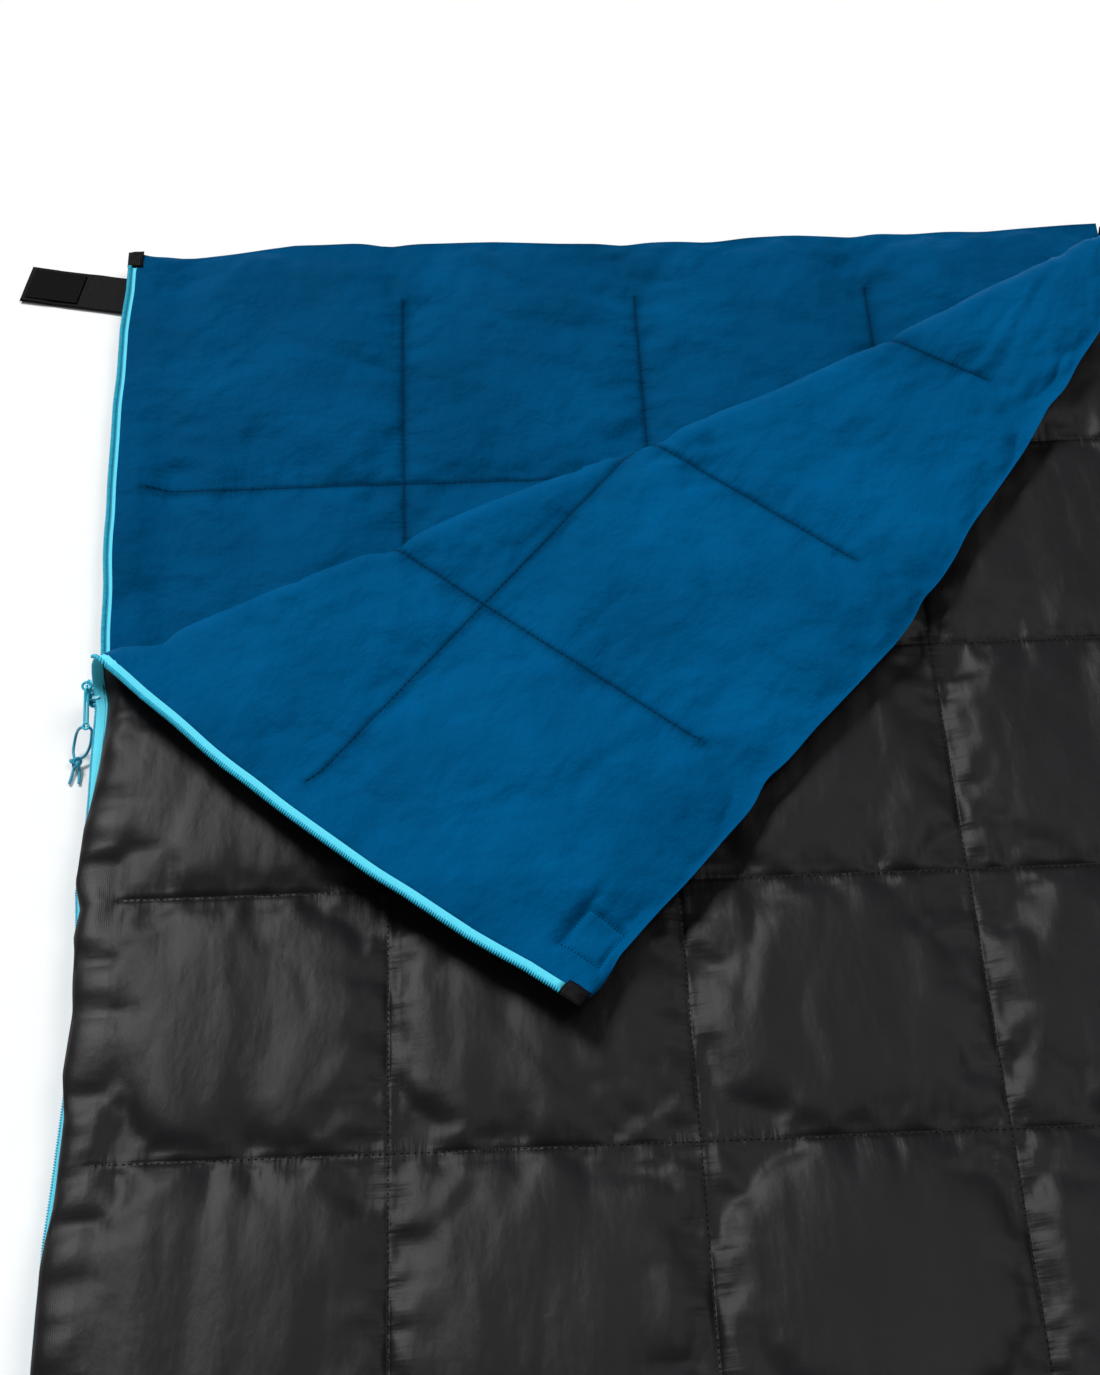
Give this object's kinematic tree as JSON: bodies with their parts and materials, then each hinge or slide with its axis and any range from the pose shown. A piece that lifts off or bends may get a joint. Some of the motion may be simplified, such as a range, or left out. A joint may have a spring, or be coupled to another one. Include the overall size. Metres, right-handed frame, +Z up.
{
  "type": "rectangular sleeping bag",
  "caption": "Rectangular quilted sleeping bag with a dark shell and blue lining, laid flat with its unzipped corner folded back, a coil zip with a corded slider, and a closure strap.",
  "frame": {"origin": "centre of the bag's underside, midway between its side edges and between its head and foot edges", "axes": "+X across the bag towards the folded side edge, +Y towards the head end, +Z up"},
  "size_m": [0.9491, 1.9057, 0.0742],
  "materials": {
    "shell": "satin polyester",
    "lining": "soft satin polyester",
    "filling": "hollow-fibre wadding",
    "shell_thread": "spun thread",
    "lining_thread": "spun thread",
    "zip_tape": "woven tape",
    "zip_coil": "nylon monofilament",
    "slider_enamel": "enamelled zinc",
    "stop_metal": "bare metal",
    "cord": "braided cord",
    "webbing": "woven nylon",
    "hook_tape": "moulded hooks",
    "loop_pile": "looped pile"
  },
  "bodies": {
    "bottom_panel": {"bottom_shell": "shell", "bottom_filling": "filling", "bottom_lining": "lining", "bottom_quilting": "lining_thread", "bottom_zip_tape": "zip_tape", "bottom_zip_coil": "zip_coil", "bottom_zip_end_tab": "webbing", "zip_foot_stop": "stop_metal", "strap_root": "webbing"},
    "top_panel": {"top_shell": "shell", "top_filling": "filling", "top_lining": "lining", "top_quilting": "shell_thread", "top_zip_tape": "zip_tape", "top_zip_coil": "zip_coil"},
    "flap": {"flap_shell": "shell", "flap_filling": "filling", "flap_lining": "lining", "flap_quilting": "lining_thread", "flap_zip_tape": "zip_tape", "flap_zip_coil": "zip_coil", "flap_zip_end_tab": "webbing", "loop_patch": "loop_pile", "patch_stitching": "lining_thread"},
    "slider": {"slider_body": "slider_enamel", "slider_bail": "slider_enamel"},
    "pull": {"pull_tab": "slider_enamel"},
    "cord": {"pull_cord": "cord", "cord_knot": "cord", "cord_tails": "cord"},
    "strap": {"strap": "webbing", "hook_pad": "hook_tape"}
  },
  "joints": [
    {"name": "panel_open", "type": "hinge", "parent": "bottom_panel", "child": "top_panel", "pos_m": [0.425, 0, 0.024], "axis": [0, 1, 0], "range_deg": [0, 180]},
    {"name": "corner_fold", "type": "hinge", "parent": "top_panel", "child": "flap", "pos_m": [-0.425, 0.5, 0.0492], "axis": [-0.9063, -0.4226, 0], "range_deg": [0, 180]},
    {"name": "slider_run", "type": "slide", "parent": "bottom_panel", "child": "slider", "axis": [0, 1, 0], "range_m": [-1.372, 0.403]},
    {"name": "pull_swing", "type": "hinge", "parent": "slider", "child": "pull", "pos_m": [-0.43, 0.497, 0.03431], "axis": [-1, 0, 0], "range_deg": [0, 185]},
    {"name": "cord_swing", "type": "hinge", "parent": "pull", "child": "cord", "pos_m": [-0.43, 0.46706, 0.02629], "axis": [-1, 0, 0], "range_deg": [0, 90]},
    {"name": "strap_fold", "type": "hinge", "parent": "bottom_panel", "child": "strap", "pos_m": [-0.43, 0.917, 0.0268], "axis": [0, 1, 0], "range_deg": [0, 180]}
  ]
}
